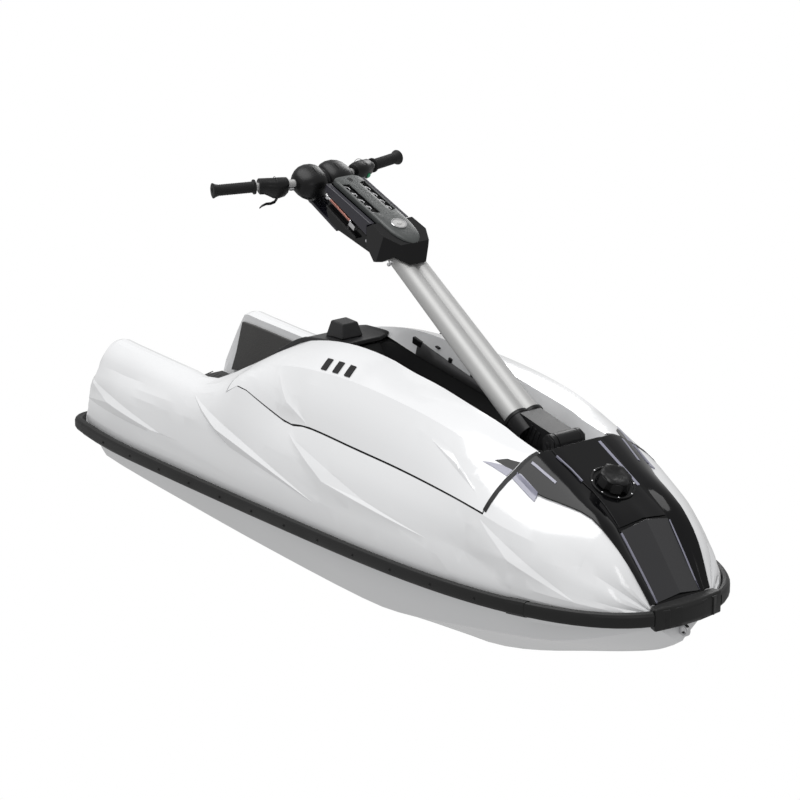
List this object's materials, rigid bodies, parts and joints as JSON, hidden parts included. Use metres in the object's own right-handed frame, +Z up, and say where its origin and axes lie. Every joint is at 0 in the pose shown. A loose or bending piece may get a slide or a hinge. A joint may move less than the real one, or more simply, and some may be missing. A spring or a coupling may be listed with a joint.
{
  "type": "stand up personal watercraft",
  "caption": "Stand up personal watercraft with a hinged handle pole, turning handlebar, rider tray, engine hood and jet pump with a steering nozzle.",
  "frame": {"origin": "on the ground under the middle of the craft, at the keel pad it stands on", "axes": "+X to the bow, +Y to port, +Z up"},
  "size_m": [2.4285, 0.76, 1.1275],
  "materials": {
    "gelcoat_hull": "glossy white gelcoat",
    "gelcoat_deck": "glossy white gelcoat",
    "black_gloss": "glossy black moulding",
    "black_satin": "satin black moulding",
    "grey_satin": "satin dark grey moulding",
    "rail_rubber": "black rubber",
    "mat_foam": "textured black foam",
    "side_foam": "textured dark grey foam",
    "pole_alloy": "satin anodised",
    "pump_alloy": "cast and machined",
    "steel": "stainless",
    "engine_paint": "painted casting"
  },
  "bodies": {
    "hull": {"hull_shell": "gelcoat_hull", "deck": "gelcoat_deck", "engine_hood": "gelcoat_deck", "hood_seal": "rail_rubber", "hood_channel": "black_satin", "hood_vents": "black_satin", "chin_pad": "grey_satin", "pole_rest": "black_satin", "nose_panel": "black_gloss", "nose_strip": "grey_satin", "fuel_neck": "black_satin", "rub_rail_starboard": "rail_rubber", "rub_rail_port": "rail_rubber", "stern_cap_starboard": "rail_rubber", "stern_cap_port": "rail_rubber", "bow_bumper": "rail_rubber", "bow_eye": "steel", "tray_mat": "mat_foam", "side_mat_starboard": "side_foam", "side_mat_port": "side_foam", "ride_plate": "pump_alloy", "intake_grate": "pump_alloy", "pump_housing": "pump_alloy", "engine_block": "engine_paint", "pole_mount": "black_satin", "pivot_pin": "steel"},
    "pole": {"pole_foot": "black_satin", "pole_tube": "pole_alloy", "pole_head": "black_satin", "head_rails": "black_gloss", "head_pad": "grey_satin", "steering_rod": "steel"},
    "handlebar": {"steering_stem": "steel", "handlebar": "pole_alloy", "bar_cover": "black_satin", "grip_starboard": "rail_rubber", "grip_port": "rail_rubber", "throttle_housing": "black_satin", "throttle_lever": "black_satin", "switch_housing": "black_satin"},
    "steering_nozzle": {"steering_nozzle": "pump_alloy"},
    "impeller": {"impeller": "steel", "drive_shaft": "steel"},
    "fuel_cap": {"fuel_cap": "black_satin"}
  },
  "joints": [
    {"name": "pole_pivot", "type": "hinge", "parent": "hull", "child": "pole", "pos_m": [0.705, 0, 0.605], "axis": [0, 1, 0], "range_deg": [-15.5, 40]},
    {"name": "steering", "type": "hinge", "parent": "pole", "child": "handlebar", "pos_m": [-0.36925, 0, 1.08104], "axis": [0.4051, 0, 0.9143], "range_deg": [-25, 25]},
    {"name": "nozzle_swivel", "type": "hinge", "parent": "hull", "child": "steering_nozzle", "pos_m": [-1.112, 0, 0.092], "axis": [0, 0, 1], "range_deg": [-20, 20]},
    {"name": "impeller_spin", "type": "hinge", "parent": "hull", "child": "impeller", "pos_m": [-0.9, 0, 0.092], "axis": [1, 0, 0], "continuous": true},
    {"name": "fuel_cap_turn", "type": "hinge", "parent": "hull", "child": "fuel_cap", "pos_m": [0.895, 0, 0.53733], "axis": [0.4311, 0, 0.9023], "continuous": true}
  ],
  "couplings": [
    {"joint": "nozzle_swivel", "follows": "steering", "ratio": -0.8}
  ]
}
